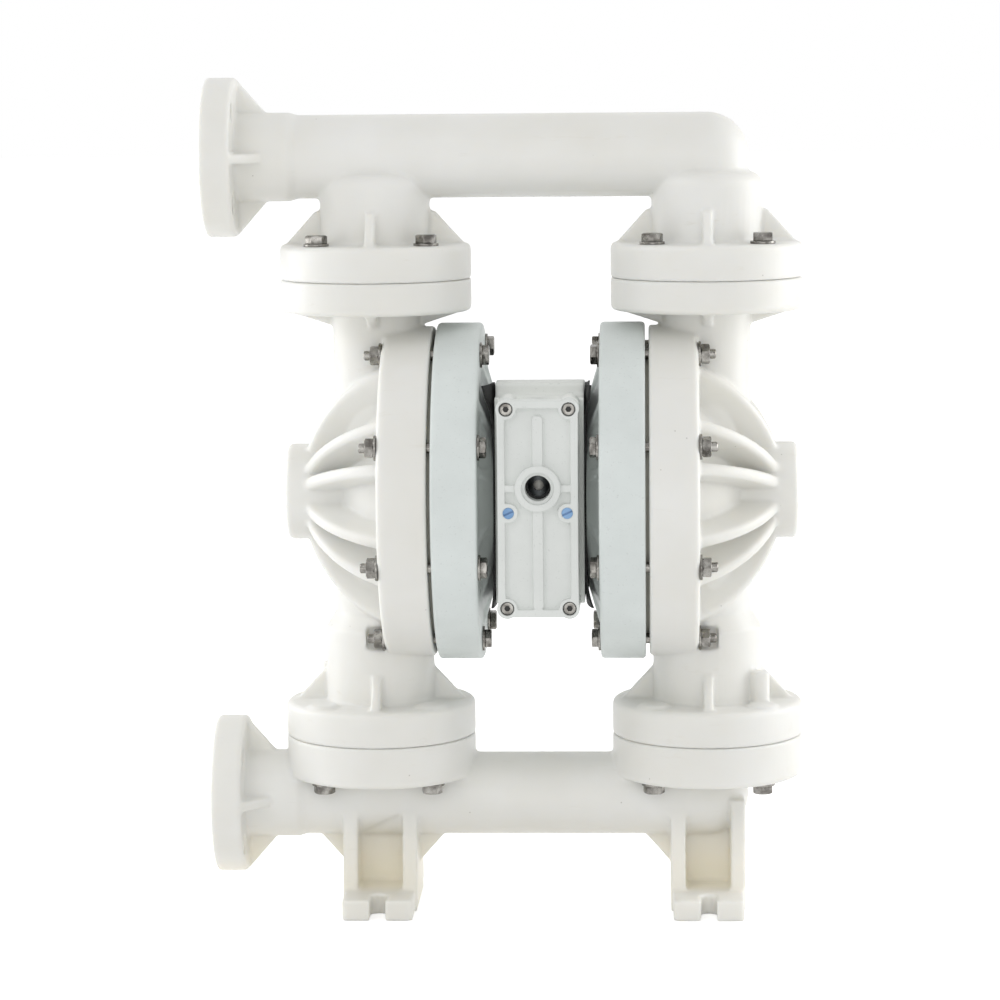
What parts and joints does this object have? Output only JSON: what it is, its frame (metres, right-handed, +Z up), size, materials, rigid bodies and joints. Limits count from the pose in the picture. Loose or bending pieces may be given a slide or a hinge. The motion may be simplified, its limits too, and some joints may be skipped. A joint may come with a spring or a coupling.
{
  "type": "air operated diaphragm pump",
  "caption": "Air operated diaphragm pump with moulded plastic fluid caps and flanged side manifolds, a painted metal air motor with a front air valve, and slotted feet.",
  "frame": {"origin": "middle of the four foot slots, on the floor plane", "axes": "+X along the diaphragm rod, away from the pipe flanges; +Y to the rear, away from the air valve; +Z up"},
  "size_m": [0.5704, 0.3254, 0.8041],
  "materials": {
    "natural_pp": "as moulded, slightly translucent",
    "grey_paint": "satin paint over cast aluminium",
    "body_paint": "satin paint over cast aluminium",
    "cover_grey": "satin paint over cast aluminium",
    "stainless": "turned and rolled stainless steel",
    "plate_alloy": "cast aluminium",
    "brass": "machined brass",
    "black_rubber": "nitrile rubber",
    "seat_rubber": "moulded thermoplastic rubber",
    "acetal": "machined acetal",
    "blue_plastic": "injection moulded nylon",
    "black_plastic": "injection moulded polypropylene"
  },
  "bodies": {
    "housing": {"air_cap_left": "grey_paint", "air_cap_right": "grey_paint", "air_cap_screws": "stainless", "block_gasket": "black_rubber", "body_gasket_left": "black_rubber", "body_gasket_right": "black_rubber", "center_body": "body_paint", "chamber_bolts": "stainless", "chamber_nuts": "stainless", "chamber_washers": "stainless", "cover_gasket": "black_rubber", "diaphragm_left": "black_rubber", "diaphragm_right": "black_rubber", "fluid_cap_left": "natural_pp", "fluid_cap_right": "natural_pp", "inlet_manifold": "natural_pp", "inlet_seat_left": "seat_rubber", "inlet_seat_right": "seat_rubber", "joint_inserts": "brass", "joint_washers": "stainless", "lower_joint_bolts": "stainless", "muffler": "black_plastic", "outlet_manifold": "natural_pp", "outlet_seat_left": "seat_rubber", "outlet_seat_right": "seat_rubber", "pilot_bushes": "brass", "rod_bushes": "brass", "rod_seals": "black_rubber", "spool_end_plugs": "plate_alloy", "spool_sleeve": "plate_alloy", "trim_plugs": "blue_plastic", "upper_joint_bolts": "stainless", "valve_block": "body_paint", "valve_cover": "cover_grey", "valve_screws": "stainless"},
    "rod": {"connecting_rod": "stainless", "air_side_plate_left": "plate_alloy", "air_side_plate_right": "plate_alloy", "fluid_side_plate_left": "natural_pp", "fluid_side_plate_right": "natural_pp", "plate_screws": "stainless"},
    "pilot": {"pilot_rod": "stainless"},
    "spool": {"valve_spool": "acetal"},
    "ball_upper_left": {"outlet_ball_left": "seat_rubber"},
    "ball_upper_right": {"outlet_ball_right": "seat_rubber"},
    "ball_lower_left": {"inlet_ball_left": "seat_rubber"},
    "ball_lower_right": {"inlet_ball_right": "seat_rubber"}
  },
  "joints": [
    {"name": "rod_slide", "type": "slide", "parent": "housing", "child": "rod", "axis": [1, 0, 0], "range_m": [-0.02, 0.02], "deforming": ["diaphragm_left", "diaphragm_right"]},
    {"name": "pilot_slide", "type": "slide", "parent": "housing", "child": "pilot", "axis": [1, 0, 0], "range_m": [-0.003, 0.003]},
    {"name": "spool_shift", "type": "slide", "parent": "housing", "child": "spool", "axis": [0, 0, 1], "range_m": [-0.008, 0.008]},
    {"name": "ball_upper_left_lift", "type": "slide", "parent": "housing", "child": "ball_upper_left", "axis": [0, 0, 1], "range_m": [0, 0.015]},
    {"name": "ball_lower_left_lift", "type": "slide", "parent": "housing", "child": "ball_lower_left", "axis": [0, 0, 1], "range_m": [0, 0.015]},
    {"name": "ball_upper_right_lift", "type": "slide", "parent": "housing", "child": "ball_upper_right", "axis": [0, 0, 1], "range_m": [0, 0.015]},
    {"name": "ball_lower_right_lift", "type": "slide", "parent": "housing", "child": "ball_lower_right", "axis": [0, 0, 1], "range_m": [0, 0.015]}
  ],
  "couplings": [
    {"joint": "pilot_slide", "follows": "rod_slide", "ratio": 0.15}
  ]
}
